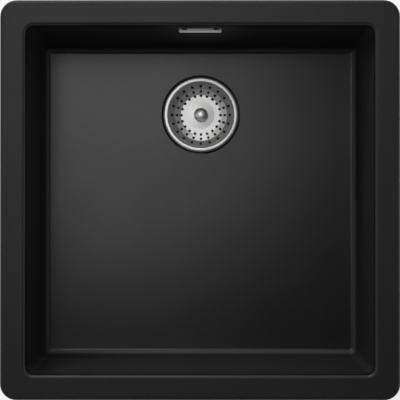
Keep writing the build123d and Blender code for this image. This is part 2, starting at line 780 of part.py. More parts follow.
# Rubber ring and ribbed union nut where the pipe enters the port
with BuildPart() as pipe_seal:
    with BuildSketch(port_plane.offset(port_end)):
        Circle(port_r - slip_gap)
        Circle(pipe_r, mode=Mode.SUBTRACT)
    extrude(amount=pipe_seal_height)
pipe_seal.part.label = "pipe_seal"
export_step(pipe_seal.part, "parts/pipe_seal.step")

nut_face = port_end + pipe_seal_height + pipe_nut_end
with BuildPart() as pipe_nut:
    with BuildSketch(port_plane.offset(nut_face)):
        Circle(pipe_nut_r)
        with PolarLocations(pipe_nut_r, pipe_nut_rib_count):
            Circle(pipe_nut_rib_r)
    extrude(amount=-pipe_nut_length)
    with BuildSketch(port_plane.offset(nut_face - pipe_nut_end)):
        Circle(port_r)
    extrude(amount=pipe_nut_end - pipe_nut_length, mode=Mode.SUBTRACT)
    with BuildSketch(port_plane.offset(nut_face)):
        Circle(pipe_r + slip_gap)
    extrude(amount=-pipe_nut_length, mode=Mode.SUBTRACT)
pipe_nut.part.label = "pipe_nut"
export_step(pipe_nut.part, "parts/pipe_nut.step")

# Brass inserts in the bosses under the rim
with BuildPart() as clip_inserts:
    with BuildSketch(Plane.XY.offset(-clip_boss_height)):
        with Locations(*clip_points):
            Circle(insert_r)
            Circle(clip_screw_r, mode=Mode.SUBTRACT)
    extrude(amount=insert_length)
clip_inserts.part.label = "clip_inserts"
export_step(clip_inserts.part, "parts/clip_inserts.step")

# Hexagon screws that hang from the inserts and carry the clips
screw_seat_z = clip_bottom_z - moving_gap
with BuildPart() as clip_screws:
    with BuildSketch(Plane.XY.offset(screw_seat_z)):
        with Locations(*clip_points):
            RegularPolygon(clip_screw_head_width / 2, 6, major_radius=False)
    extrude(amount=-clip_screw_head)
    with BuildSketch(Plane.XY.offset(screw_seat_z)):
        with Locations(*clip_points):
            Circle(clip_screw_r)
    extrude(amount=clip_screw_in - clip_boss_height - screw_seat_z)
clip_screws.part.label = "clip_screws"
export_step(clip_screws.part, "parts/clip_screws.step")

# Swivel clips, parked along the walls, with a nose that bites under the worktop
for name, (clip_x, clip_y, parked, to_wall) in clip_places.items():
    clip_side = Plane(origin=(clip_x, clip_y, clip_top_z), x_dir=parked, z_dir=(parked[1], -parked[0], 0))
    clip_top = Plane(origin=(clip_x, clip_y, clip_top_z), x_dir=parked, z_dir=(0, 0, 1))
    with BuildPart() as clip:
        with BuildSketch(clip_side):
            with BuildLine():
                sheet = FilletPolyline(
                    (-clip_width / 2, 0),
                    (clip_reach - clip_nose_run, 0),
                    (clip_reach, clip_nose_rise),
                    radius=clip_bend_r,
                )
                offset(sheet, amount=clip_sheet, side=Side.RIGHT)
            make_face()
        extrude(amount=clip_width / 2, both=True)
        with BuildSketch(clip_top):
            Circle(clip_width / 2)
            with Locations((clip_reach / 2, 0)):
                Rectangle(clip_reach, clip_width)
        extrude(amount=clip_nose_rise + clip_sheet, both=True, mode=Mode.INTERSECT)
        with BuildSketch(clip_top):
            Circle(clip_screw_r + moving_gap)
        extrude(amount=-2 * clip_sheet, mode=Mode.SUBTRACT)
    clip.part.label = name
    export_step(clip.part, f"parts/{name}.step")
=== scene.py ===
import json
import math

import bmesh
import bpy
from mathutils import Matrix, Vector


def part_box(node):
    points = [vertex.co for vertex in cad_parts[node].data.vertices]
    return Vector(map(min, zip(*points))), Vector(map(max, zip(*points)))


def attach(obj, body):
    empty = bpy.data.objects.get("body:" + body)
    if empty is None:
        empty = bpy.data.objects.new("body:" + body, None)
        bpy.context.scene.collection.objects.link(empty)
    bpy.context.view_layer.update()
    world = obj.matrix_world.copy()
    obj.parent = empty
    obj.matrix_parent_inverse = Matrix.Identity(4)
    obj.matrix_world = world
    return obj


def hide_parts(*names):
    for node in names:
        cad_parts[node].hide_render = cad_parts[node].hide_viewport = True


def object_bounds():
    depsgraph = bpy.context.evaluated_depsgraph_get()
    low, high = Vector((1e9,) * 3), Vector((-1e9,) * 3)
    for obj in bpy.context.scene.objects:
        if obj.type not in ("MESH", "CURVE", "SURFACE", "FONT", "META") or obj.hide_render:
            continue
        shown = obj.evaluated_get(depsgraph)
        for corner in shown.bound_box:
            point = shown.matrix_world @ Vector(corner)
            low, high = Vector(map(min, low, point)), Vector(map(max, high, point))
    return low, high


bl_info = {
    "name": "Single bowl kitchen sink",
    "version": (1, 0, 0),
    "blender": (4, 5, 0),
    "location": "3D View > Sidebar > Sink",
    "description": "Finishes, screws and threads of a stone composite sink, and the stage it is shown on",
    "category": "Object",
}

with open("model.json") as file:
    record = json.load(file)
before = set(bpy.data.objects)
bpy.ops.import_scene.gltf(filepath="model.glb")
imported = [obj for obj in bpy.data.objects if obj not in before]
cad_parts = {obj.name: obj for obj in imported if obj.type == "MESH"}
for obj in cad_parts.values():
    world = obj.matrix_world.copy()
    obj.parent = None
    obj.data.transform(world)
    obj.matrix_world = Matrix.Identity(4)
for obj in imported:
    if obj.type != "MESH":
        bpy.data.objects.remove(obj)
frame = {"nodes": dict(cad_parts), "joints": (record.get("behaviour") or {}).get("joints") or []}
cad_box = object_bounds()

# Places that the pieces below share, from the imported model
cup_low, cup_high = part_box("drain_flange")
body_low, body_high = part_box("waste_body")
drain_y = (cup_low.y + cup_high.y) / 2
drain_centre = Vector((0.0, drain_y, 0.0))

# Levels at which the stone's roughness and its painted wall light change: the drain ring lies just below
# the floor of the bowl
ring_drop = 0.00015
floor_level = cup_high.z + ring_drop
floor_bend = 0.0004
rim_bend = 0.006

# Middle of the bowl's walls, as half a width at the seat and its growth with height, and of its floor
side_middle = 0.2023
side_draft = 0.01875
end_middle = 0.20215
end_draft = 0.035
floor_middle = -0.1945
above_seat = 0.001

# Heights below the top of the drain ring at which the painted shade inside the cup starts and is full
painted_shade_start = 0.004
painted_shade_full = 0.01

# Waste body: ribs, screw posts and the section of a thread as shares of its depth and pitch
rib_count = 6
post_count = 3
first_post = math.radians(30)
thread_sink = 1.4
thread_foot = 0.48
thread_crest = 0.08

# Fineness of the meshes
body_steps = 96
outlet_thread_steps = 64
port_steps = 48
post_steps = 24
screw_steps = 16
hexagon_sides = 6
stage_steps = 48
cove_steps = 12
ring_bevel_steps = 3
head_bevel_steps = 2
crease_angle = math.radians(35)
ring_angle = math.radians(20)
weld_gap = 1e-6
level_gap = 1e-7

# Stage
floor_gap = 0.001
sensor_width = 36.0
view_reach = 50.0
white = (1.0, 1.0, 1.0, 1.0)
lamp_names = (
    "overhead",
    "back_top",
    "back_high",
    "back_left",
    "back_low",
    "left",
    "left_low",
    "right",
    "front",
)


# Settings


def colour_setting(name, description, default):
    """A colour in the panel."""
    return bpy.props.FloatVectorProperty(
        name=name, description=description, subtype="COLOR", size=3, min=0.0, max=1.0, default=default
    )


def share_setting(name, description, default):
    """A number from 0 to 1 in the panel."""
    return bpy.props.FloatProperty(
        name=name, description=description, subtype="FACTOR", min=0.0, max=1.0, default=default
    )


def length_setting(name, description, default):
    """A length in the panel, in metres."""
    return bpy.props.FloatProperty(
        name=name, description=description, unit="LENGTH", min=0.0, default=default
    )


def place_setting(name, description, default):
    """A point in the panel, in metres."""
    return bpy.props.FloatVectorProperty(
        name=name, description=description, subtype="TRANSLATION", unit="LENGTH", size=3, default=default
    )


def area_setting(name, default):
    """Width and height of a softbox in the panel, in metres."""
    return bpy.props.FloatVectorProperty(
        name=f"{name} size",
        description="Width and height of the softbox",
        unit="LENGTH",
        size=2,
        min=0.01,
        default=default,
    )


def radiance_setting(name, default):
    """Brightness of a softbox in the panel."""
    return bpy.props.FloatProperty(
        name=f"{name} brightness",
        description="Brightness of the face of the softbox",
        min=0.0,
        default=default,
    )


class SinkFinishes(bpy.types.PropertyGroup):
    """Colours and surfaces of the sink."""

    stone: colour_setting("Stone", "Black of the floor and the rim", (0.0022, 0.0022, 0.0027))
    # Painted light: a lighter black for the walls of the bowl, standing in for the light that falls on them
    stone_wall_painted_light: colour_setting("Matt stone", "Walls of the bowl", (0.0115, 0.0115, 0.0131))
    stone_fleck: colour_setting("Stone fleck", "Lighter quartz grains", (0.0105, 0.0105, 0.0118))
    stone_raw: colour_setting("Raw stone", "Unpolished outside of the bowl", (0.018, 0.018, 0.019))
    floor_roughness: share_setting("Floor roughness", "Floor of the bowl", 0.25)
    wall_roughness: share_setting("Wall roughness", "Walls of the bowl", 0.5)
    rim_roughness: share_setting("Rim roughness", "Rim and its edges", 0.42)
    stone_shine: share_setting("Stone shine", "Strength of the reflections in the stone", 0.25)
    raw_roughness: share_setting("Raw roughness", "Outside of the bowl, as it leaves the mould", 0.62)
    grain_size: length_setting("Grain size", "Size of the quartz grains", 0.0007)
    steel: colour_setting("Steel", "Stainless steel of waste and strainer", (0.62, 0.615, 0.61))
    steel_bare: share_setting("Bare steel", "Share of the steel that no lime film covers", 0.6)
    dish_roughness: share_setting("Strainer roughness", "Pressed dish of the strainer", 0.36)
    ring_roughness: share_setting("Ring roughness", "Ring round the drain", 0.34)
    steel_lines: length_setting("Turned lines", "Depth of the turned lines in the steel", 0.000005)
    screw_roughness: share_setting("Stem roughness", "Stem of the strainer and its nut", 0.3)
    cover: colour_setting("Cover", "Brushed steel of the overflow cover", (0.84, 0.835, 0.83))
    cover_bare: share_setting("Bare cover", "Share of the cover that no lime film covers", 0.2)
    cover_roughness: share_setting("Cover roughness", "Brushed overflow cover", 0.45)
    cover_lines: length_setting("Brush lines", "Depth of the brush lines in the cover", 0.000006)
    # Plain dark colour of the two screws of the overflow cover
    screw_black: colour_setting("Black screws", "Blackened screws of the cover", (0.05, 0.05, 0.052))
    black_roughness: share_setting("Black screw roughness", "Blackened screws of the cover", 0.5)
    # Painted shade: a dark dull colour below the drain ring, on the stopper's washer and on the flange
    # screws, standing in for the shade under the strainer
    cup_painted_shade: colour_setting("Film", "Dull film inside the cup of the drain", (0.075, 0.073, 0.07))
    cup_roughness: share_setting("Cup roughness", "Film inside the cup of the drain", 0.7)
    painted_shade_roughness: share_setting("Film roughness", "Film on the stopper's washer and the screws", 0.6)
    chrome: colour_setting("Chrome", "Satin knob", (0.78, 0.78, 0.79))
    chrome_roughness: share_setting("Chrome roughness", "Satin knob", 0.39)
    zinc: colour_setting("Zinc", "Plating of the clips and their screws", (0.58, 0.59, 0.6))
    zinc_roughness: share_setting("Zinc roughness", "Plating of the clips and their screws", 0.34)
    brass: colour_setting("Brass", "Threaded inserts under the rim", (0.72, 0.5, 0.22))
    brass_roughness: share_setting("Brass roughness", "Threaded inserts under the rim", 0.3)
    plastic: colour_setting("Plastic", "Waste body, overflow housing and pipe", (0.6, 0.6, 0.59))
    plastic_roughness: share_setting("Plastic roughness", "Moulded plastic", 0.45)
    nut_shade: share_setting("Nut shade", "Colour of the union nut as a share of the plastic's", 0.95)
    rubber: colour_setting("Rubber", "Gaskets and seals", (0.018, 0.018, 0.018))
    rubber_roughness: share_setting("Rubber roughness", "Gaskets and seals", 0.7)


class SinkStage(bpy.types.PropertyGroup):
    """Camera, lamps, floor and backdrop."""

    camera_place: place_setting("Camera", "Almost straight above the sink", (0.012, -0.018, 2.132))
    lens: bpy.props.FloatProperty(
        name="Lens", description="Focal length in millimetres on a 36 mm sensor", min=1.0, default=167.9
    )
    overhead_place: place_setting("Overhead lamp", "Softbox above the sink", (-0.27, 0.33, 2.4))
    overhead_size: area_setting("Overhead lamp", (0.7, 0.9))
    overhead_radiance: radiance_setting("Overhead lamp", 5.2)
    back_top_place: place_setting("Back top lamp", "Softbox behind the overhead lamp", (0.0, 1.27, 2.3))
    back_top_size: area_setting("Back top lamp", (0.8, 0.5))
    back_top_radiance: radiance_setting("Back top lamp", 6.0)
    back_high_place: place_setting("Back high lamp", "Softbox high behind the sink", (0.0, 1.48, 1.89))
    back_high_size: area_setting("Back high lamp", (0.9, 0.9))
    back_high_radiance: radiance_setting("Back high lamp", 1.6)
    back_left_place: place_setting("Back left lamp", "Key softbox", (-0.63, 1.94, 1.27))
    back_left_size: area_setting("Back left lamp", (0.9, 0.9))
    back_left_radiance: radiance_setting("Back left lamp", 12.0)
    back_low_place: place_setting("Back low lamp", "Softbox low behind the sink", (0.0, 2.35, 0.5))
    back_low_size: area_setting("Back low lamp", (0.8, 0.8))
    back_low_radiance: radiance_setting("Back low lamp", 1.0)
    left_place: place_setting("Left lamp", "Softbox on the left", (-1.85, 0.0, 1.55))
    left_size: area_setting("Left lamp", (0.9, 0.9))
    left_radiance: radiance_setting("Left lamp", 3.2)
    left_low_place: place_setting("Left low lamp", "Softbox low on the left", (-2.35, 0.0, 0.5))
    left_low_size: area_setting("Left low lamp", (0.8, 0.8))
    left_low_radiance: radiance_setting("Left low lamp", 0.5)
    right_place: place_setting("Right lamp", "Softbox on the right", (2.04, 0.0, 1.27))
    right_size: area_setting("Right lamp", (0.9, 0.9))
    right_radiance: radiance_setting("Right lamp", 3.2)
    front_place: place_setting("Front lamp", "Weak wide softbox in front", (0.0, -2.0, 1.27))
    front_size: area_setting("Front lamp", (2.0, 0.9))
    front_radiance: radiance_setting("Front lamp", 0.4)
    room: bpy.props.FloatProperty(
        name="Room", description="Brightness of the room around the sink", min=0.0, default=0.03
    )
    floor_colour: colour_setting("Floor", "Pale floor beside the sink", (0.9, 0.9, 0.9))
    backdrop_colour: colour_setting(
        "Backdrop spill", "Lamp light that the backdrop throws back", (0.05, 0.05, 0.05)
    )
    floor_white: share_setting("White of the floor", "Plain white in the floor beside the sink", 0.78)
    floor_radius: length_setting("Floor radius", "Level part of the floor", 3.5)
    backdrop_radius: length_setting("Backdrop radius", "Upright part of the backdrop", 5.0)
    backdrop_height: length_setting("Backdrop height", "Top of the backdrop", 4.0)
    shadow_reach: length_setting("Shadow reach", "Where the floor starts to turn plain white", 0.8)


class SinkFasteners(bpy.types.PropertyGroup):
    """Sizes of the clip screws that are drawn here."""

    clip_thread_pitch: length_setting("Clip thread pitch", "Pitch of the thread on the clip screws", 0.0008)
    clip_thread_depth: length_setting("Clip thread depth", "Crest to root of that thread", 0.0004)
    clip_screw_radius: length_setting("Clip screw radius", "Over the thread crests", 0.0025)
    clip_head_width: length_setting("Clip screw head", "Across the flats of the hexagon", 0.008)
    clip_head_height: length_setting("Clip screw head height", "Height of the hexagon", 0.0035)
    clip_head_edge: length_setting("Clip screw head edge", "Bevel of the hexagon", 0.0003)


class SinkPlumbing(bpy.types.PropertyGroup):
    """Sizes of the waste body that is drawn here."""

    body_radius: length_setting("Chamber radius", "Inside of the chamber", 0.041)
    body_wall: length_setting("Body wall", "Wall of the chamber", 0.0035)
    flange_radius: length_setting("Flange radius", "Clamping flange under the bowl", 0.058)
    flange_height: length_setting("Flange height", "Thickness of the clamping flange", 0.004)
    chamber_height: length_setting("Chamber height", "Top of the flange to the foot of the chamber", 0.029)
    funnel_slope: bpy.props.FloatProperty(
        name="Funnel slope",
        description="Slope of the funnel under the chamber",
        subtype="ANGLE",
        default=math.radians(15),
    )
    outlet_bore: length_setting("Outlet bore", "Inside radius of the outlet", 0.0205)
    thread_radius: length_setting("Outlet thread radius", "Over the crests of the outlet thread", 0.0239)
    thread_depth: length_setting("Outlet thread depth", "Crest to root of the outlet thread", 0.0014)
    thread_pitch: length_setting("Outlet thread pitch", "Eleven turns to the inch", 0.00231)
    thread_length: length_setting("Outlet thread length", "Collar to the end of the outlet", 0.022)
    collar_radius: length_setting("Collar radius", "Stop above the outlet thread", 0.0275)
    collar_height: length_setting("Collar height", "Thickness of the stop", 0.004)
    rib_width: length_setting("Rib", "Thickness of the ribs under the flange", 0.0025)
    rib_drop: length_setting("Rib drop", "How far the ribs run down the chamber", 0.013)
    port_radius: length_setting("Port radius", "Outside of the overflow port", 0.014)
    port_socket: length_setting("Port socket", "Radius of the socket for the pipe", 0.0102)
    port_depth: length_setting("Port depth", "How deep the pipe goes in", 0.014)
    port_step: length_setting("Port step", "Shoulder at the foot of the socket", 0.0015)
    post_circle: length_setting("Post circle", "Radius on which the screw posts stand", 0.0349)
    post_radius: length_setting("Post radius", "Radius of a screw post", 0.0036)
    post_overlap: length_setting("Post overlap", "How far the posts reach above the foot of the cup", 0.005)
    edge_round: length_setting("Edge round", "Rounding of the moulded edges", 0.0006)


# Nodes and node groups shared by the finishes


def wire(tree, value, socket):
    """Links a socket, or sets a plain value."""
    if isinstance(value, bpy.types.NodeSocket):
        tree.links.new(value, socket)
    else:
        socket.default_value = value


def add(tree, kind, inputs=(), **settings):
    """Adds a node with its settings and inputs."""
    node = tree.nodes.new(kind)
    for key, value in settings.items():
        setattr(node, key, value)
    for key, value in dict(inputs).items():
        wire(tree, value, node.inputs[key])
    return node


def sums(tree, operation, first, second=0.0):
    """One sum on two numbers."""
    return add(tree, "ShaderNodeMath", {0: first, 1: second}, operation=operation).outputs[0]


def product(tree, first, second):
    """Two numbers multiplied."""
    return sums(tree, "MULTIPLY", first, second)


def vectors(tree, operation, inputs):
    """One sum on vectors."""
    return add(tree, "ShaderNodeVectorMath", inputs, operation=operation).outputs


def blend_numbers(tree, factor, low, high):
    """Goes from low to high as factor goes from 0 to 1."""
    ends = {"Value": factor, "To Min": low, "To Max": high}
    return add(tree, "ShaderNodeMapRange", ends).outputs["Result"]


def around(tree, factor, middle, span):
    """Goes from span below the middle to span above it as factor goes from 0 to 1."""
    return blend_numbers(tree, factor, middle - span, middle + span)


def slope(tree, value, start, end):
    """Goes from 0 at start to 1 at end."""
    ends = {"Value": value, "From Min": start, "From Max": end}
    return add(tree, "ShaderNodeMapRange", ends).outputs["Result"]


def parts_of(tree, place):
    """X, Y and Z of a place."""
    return add(tree, "ShaderNodeSeparateXYZ", {"Vector": place}).outputs


def mixed_colour(tree, factor, first, second):
    """Mixes two colours."""
    node = add(tree, "ShaderNodeMix", {"Factor": factor}, data_type="RGBA")
    colours = [socket for socket in node.inputs if socket.type == "RGBA"]
    for socket, colour in zip(colours, (first, second)):
        wire(tree, colour if isinstance(colour, bpy.types.NodeSocket) else (*colour, 1.0), socket)
    return next(socket for socket in node.outputs if socket.type == "RGBA")


def bumped(tree, surface, height, distance):
    """Fine relief from a height between 0 and 1."""
    bump = add(tree, "ShaderNodeBump", {"Height": height, "Distance": distance, "Strength": 1.0})
    wire(tree, bump.outputs["Normal"], surface["Normal"])


def shaded(colour, share):
    """A colour made darker or lighter."""
    return tuple(share * channel for channel in colour)


def new_group(name):
    """A shader node group that takes a place and a size and gives a value."""
    group = bpy.data.node_groups.new(name, "ShaderNodeTree")
    group.interface.new_socket(name="Vector", in_out="INPUT", socket_type="NodeSocketVector")
    group.interface.new_socket(name="Size", in_out="INPUT", socket_type="NodeSocketFloat")
    group.interface.new_socket(name="Value", in_out="OUTPUT", socket_type="NodeSocketFloat")
    return group


def noise_value(group, place, detail):
    """Gives a noise at a place as the value of a group."""
    noise = add(group, "ShaderNodeTexNoise", {"Vector": place, "Scale": 1.0, "Detail": detail})
    leave = add(group, "NodeGroupOutput")
    wire(group, noise.outputs["Fac"], leave.inputs["Value"])


def noise_group(name, detail, stretch=(1.0, 1.0, 1.0)):
    """A group with a noise of the given size, drawn out along an axis."""
    group = new_group(name)
    entry = add(group, "NodeGroupInput").outputs
    inverse = sums(group, "DIVIDE", 1.0, entry["Size"])
    scaled = vectors(group, "SCALE", {0: entry["Vector"], "Scale": inverse})[0]
    noise_value(group, vectors(group, "MULTIPLY", {0: scaled, 1: stretch})[0], detail)


def turned_group(name, detail, drift):
    """A group with lines round a centre that drift along X."""
    group = new_group(name)
    group.interface.new_socket(name="Centre", in_out="INPUT", socket_type="NodeSocketVector")
    entry = add(group, "NodeGroupInput").outputs
    offset = vectors(group, "SUBTRACT", {0: entry["Vector"], 1: entry["Centre"]})[0]
    apart = parts_of(group, offset)
    level = add(group, "ShaderNodeCombineXYZ", {"X": apart["X"], "Y": apart["Y"]}).outputs[0]
    radius = vectors(group, "LENGTH", {0: level})["Value"]
    line = {
        "X": sums(group, "DIVIDE", radius, entry["Size"]),
        "Y": sums(group, "DIVIDE", apart["Z"], entry["Size"]),
        "Z": product(group, apart["X"], drift),
    }
    noise_value(group, add(group, "ShaderNodeCombineXYZ", line).outputs[0], detail)


def build_groups():
    """Fine grain, soft patches, drawn lines and turned lines."""
    noise_group("fine_grain", detail=2.0)
    noise_group("soft_patches", detail=4.0)
    noise_group("drawn_lines", detail=2.0, stretch=(0.012, 1.0, 1.0))
    turned_group("turned_lines", detail=2.0, drift=40.0)


def effect(tree, name, place, size, **more):
    """Places one of the shared groups."""
    inputs = {"Vector": place, "Size": size, **more}
    return add(tree, "ShaderNodeGroup", inputs, node_tree=bpy.data.node_groups[name]).outputs["Value"]


# Finishes


def new_material(name):
    """A material, its nodes, the sockets of its shader and the place on the piece."""
    material = bpy.data.materials.new(name)
    material.use_nodes = True
    tree = material.node_tree
    tree.nodes.clear()
    shader = add(tree, "ShaderNodeBsdfPrincipled")
    add(tree, "ShaderNodeOutputMaterial", {"Surface": shader.outputs["BSDF"]})
    place = add(tree, "ShaderNodeTexCoord").outputs["Object"]
    return material, tree, shader.inputs, place


def finished_face(tree, place):
    """1 inside the bowl and on the rim, 0 on the raw outside of the bowl."""
    apart = parts_of(tree, place)
    height = apart["Z"]
    side = sums(tree, "ADD", product(tree, height, side_draft), side_middle)
    end = sums(tree, "ADD", product(tree, height, end_draft), end_middle)
    in_width = sums(tree, "LESS_THAN", sums(tree, "ABSOLUTE", apart["X"]), side)
    in_length = sums(tree, "LESS_THAN", sums(tree, "ABSOLUTE", apart["Y"]), end)
    above_shell = sums(tree, "GREATER_THAN", height, floor_middle)
    inside = product(tree, product(tree, in_width, in_length), above_shell)
    on_rim = sums(tree, "GREATER_THAN", height, above_seat)
    return sums(tree, "MAXIMUM", inside, on_rim)


def stone_composite(finishes):
    """Black quartz composite: satin inside, raw outside, with the walls of the bowl painted lighter than
    the floor and rim as painted light.
    """
    fleck_size = 2.3 * finishes.grain_size
    fleck_start = 0.56
    fleck_full = 0.68
    fleck_share = 0.7
    patch_size = 0.09
    worn_span = 0.03
    satin_relief = 0.12
    relief_depth = 0.00012
    material, tree, surface, place = new_material("stone_composite")
    grain = effect(tree, "fine_grain", place, finishes.grain_size)
    fleck = effect(tree, "fine_grain", place, fleck_size)
    patches = effect(tree, "soft_patches", place, patch_size)
    finished = finished_face(tree, place)
    height = parts_of(tree, place)["Z"]
    on_floor = slope(tree, height, floor_level + floor_bend, floor_level)
    on_rim = slope(tree, height, -rim_bend, 0.0)
    smooth = sums(tree, "MAXIMUM", on_floor, on_rim)
    # Painted light: the walls take the lighter black, the smooth floor and rim the plain black
    ground = mixed_colour(tree, smooth, finishes.stone_wall_painted_light, finishes.stone)
    flecks = product(tree, slope(tree, fleck, fleck_start, fleck_full), fleck_share)
    fine = mixed_colour(tree, flecks, ground, finishes.stone_fleck)
    raw = mixed_colour(tree, patches, finishes.stone, finishes.stone_raw)
    wire(tree, mixed_colour(tree, finished, raw, fine), surface["Base Color"])
    upright = blend_numbers(tree, on_rim, finishes.wall_roughness, finishes.rim_roughness)
    moulded = blend_numbers(tree, on_floor, upright, finishes.floor_roughness)
    satin = blend_numbers(tree, finished, finishes.raw_roughness, moulded)
    worn = around(tree, patches, 0.0, worn_span)
    wire(tree, sums(tree, "ADD", satin, worn), surface["Roughness"])
    surface["Specular IOR Level"].default_value = finishes.stone_shine
    relief = blend_numbers(tree, finished, 1.0, satin_relief)
    bumped(tree, surface, product(tree, grain, relief), relief_depth)
    return material


def filmed(tree, lines, patches, roughness, bare, line_span, worn_span):
    """Roughness and bare share of lined steel under a thin lime film."""
    bare_span = 0.1
    streaks = around(tree, lines, roughness, line_span)
    satin = sums(tree, "ADD", streaks, around(tree, patches, 0.0, worn_span))
    return satin, around(tree, patches, bare, bare_span)


def surfaced(tree, surface, tint, satin, bare):
    """Gives a shader its colour, roughness and bare share."""
    wire(tree, tint, surface["Base Color"])
    wire(tree, satin, surface["Roughness"])
    wire(tree, bare, surface["Metallic"])


def turned_steel(tree, finishes, place, roughness):
    """Colour, roughness, bare share and lines of steel turned or pressed round the drain axis."""
    line_size = 0.00045
    patch_size = 0.02
    dull = shaded(finishes.steel, share=0.9)
    lines = effect(tree, "turned_lines", place, line_size, Centre=drain_centre)
    patches = effect(tree, "soft_patches", place, patch_size)
    tint = mixed_colour(tree, lines, dull, finishes.steel)
    satin, bare = filmed(
        tree, lines, patches, roughness, finishes.steel_bare, line_span=0.05, worn_span=0.03
    )
    return tint, satin, bare, lines


def strainer_steel(finishes):
    """Steel of the strainer's dish."""
    material, tree, surface, place = new_material("strainer_steel")
    tint, satin, bare, lines = turned_steel(tree, finishes, place, finishes.dish_roughness)
    surfaced(tree, surface, tint, satin, bare)
    bumped(tree, surface, lines, finishes.steel_lines)
    return material


def cup_steel(finishes):
    """Steel of the drain cup: a bright ring, and painted shade further down, a dark dull colour that stands
    for the shade under the strainer.
    """
    material, tree, surface, place = new_material("drain_steel")
    tint, satin, bare, lines = turned_steel(tree, finishes, place, finishes.ring_roughness)
    height = parts_of(tree, place)["Z"]
    above_painted_shade = slope(tree, height, cup_high.z - painted_shade_full, cup_high.z - painted_shade_start)
    colour = mixed_colour(tree, above_painted_shade, finishes.cup_painted_shade, tint)
    roughness = blend_numbers(tree, above_painted_shade, finishes.cup_roughness, satin)
    surfaced(tree, surface, colour, roughness, product(tree, above_painted_shade, bare))
    bumped(tree, surface, lines, finishes.steel_lines)
    return material


def cover_steel(finishes):
    """Steel sheet of the overflow cover with straight brush lines."""
    line_size = 0.00035
    patch_size = 0.012
    dull = shaded(finishes.cover, share=0.86)
    roughness = finishes.cover_roughness
    material, tree, surface, place = new_material("cover_steel")
    lines = effect(tree, "drawn_lines", place, line_size)
    patches = effect(tree, "soft_patches", place, patch_size)
    tint = mixed_colour(tree, lines, dull, finishes.cover)
    satin, bare = filmed(
        tree, lines, patches, roughness, finishes.cover_bare, line_span=0.06, worn_span=0.04
    )
    surfaced(tree, surface, tint, satin, bare)
    bumped(tree, surface, lines, finishes.cover_lines)
    return material


def patchy(name, colour, other, roughness, worn_span, patch_size):
    """A material whose colour and roughness change in soft patches."""
    material, tree, surface, place = new_material(name)
    patches = effect(tree, "soft_patches", place, patch_size)
    wire(tree, mixed_colour(tree, patches, colour, other), surface["Base Color"])
    wire(tree, around(tree, patches, roughness, worn_span), surface["Roughness"])
    return material, tree, surface, place


def bright_chrome(finishes):
    """Satin chrome with faint smears."""
    dull = shaded(finishes.chrome, share=0.94)
    roughness = finishes.chrome_roughness
    material, _, surface, _ = patchy(
        "knob_chrome", dull, finishes.chrome, roughness, worn_span=0.05, patch_size=0.006
    )
    surface["Metallic"].default_value = 1.0
    return material


def plain_metal(name, colour, roughness):
    """Small turned or plated metal pieces."""
    grain_size = 0.0004
    relief_depth = 0.00001
    dull = shaded(colour, share=0.82)
    material, tree, surface, place = patchy(name, dull, colour, roughness, worn_span=0.07, patch_size=0.004)
    surface["Metallic"].default_value = 1.0
    bumped(tree, surface, effect(tree, "fine_grain", place, grain_size), relief_depth)
    return material


def moulded_plastic(name, colour, roughness):
    """Pale moulded plastic with a fine mould texture."""
    grain_size = 0.0006
    relief_depth = 0.00002
    cooler = shaded(colour, share=0.93)
    material, tree, surface, place = patchy(
        name, cooler, colour, roughness, worn_span=0.07, patch_size=0.025
    )
    bumped(tree, surface, effect(tree, "fine_grain", place, grain_size), relief_depth)
    return material


def black_rubber(finishes):
    """Matt rubber with a dusty bloom."""
    grain_size = 0.0005
    relief_depth = 0.00003
    bloom = shaded(finishes.rubber, share=1.9)
    roughness = finishes.rubber_roughness
    material, tree, surface, place = patchy(
        "black_rubber", finishes.rubber, bloom, roughness, worn_span=0.1, patch_size=0.008
    )
    bumped(tree, surface, effect(tree, "fine_grain", place, grain_size), relief_depth)
    return material


def finish_nodes(material, *names):
    """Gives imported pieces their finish."""
    for name in names:
        frame["nodes"][name].material_slots[0].material = material


# Modelling helpers


def add_piece(name, shape, material, body="sink", replaced=()):
    """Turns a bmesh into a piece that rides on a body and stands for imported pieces."""
    bmesh.ops.recalc_face_normals(shape, faces=shape.faces)
    mesh = bpy.data.meshes.new(name)
    shape.to_mesh(mesh)
    shape.free()
    mesh.polygons.foreach_set("use_smooth", [True] * len(mesh.polygons))
    mesh.set_sharp_from_angle(angle=crease_angle)
    mesh.materials.append(material)
    piece = bpy.data.objects.new(name, mesh)
    bpy.context.scene.collection.objects.link(piece)
    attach(piece, body)
    if replaced:
        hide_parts(*replaced)


def turned(shape, profile, steps):
    """Spins a line of (radius, height) points round the Z axis."""
    line = [shape.verts.new((radius, 0.0, height)) for radius, height in profile]
    edges = [shape.edges.new(pair) for pair in zip(line, line[1:])]
    bmesh.ops.spin(
        shape,
        geom=line + edges,
        cent=(0.0, 0.0, 0.0),
        axis=(0.0, 0.0, 1.0),
        angle=math.tau,
        steps=steps,
        use_merge=True,
    )
    bmesh.ops.remove_doubles(shape, verts=shape.verts, dist=weld_gap)


def threaded(shape, radius, depth, pitch, low, high, steps):
    """Adds a helical ridge that climbs from low to high round the Z axis."""
    root = radius - thread_sink * depth
    foot = thread_foot * pitch
    crest = thread_crest * pitch
    section = [(root, -foot), (radius, -crest), (radius, crest), (root, foot)]
    ring = [shape.verts.new((across, 0.0, low + pitch / 2 + up)) for across, up in section]
    edges = [shape.edges.new((ring[index - 1], ring[index])) for index in range(len(ring))]
    turns = (high - low - pitch) / pitch
    count = int(turns * steps)
    bmesh.ops.spin(
        shape,
        geom=ring + edges,
        cent=(0.0, 0.0, 0.0),
        axis=(0.0, 0.0, 1.0),
        dvec=(0.0, 0.0, pitch / steps),
        angle=math.tau * count / steps,
        steps=count,
    )
    ends = [edge for edge in shape.edges if edge.is_boundary]
    bmesh.ops.holes_fill(shape, edges=ends)


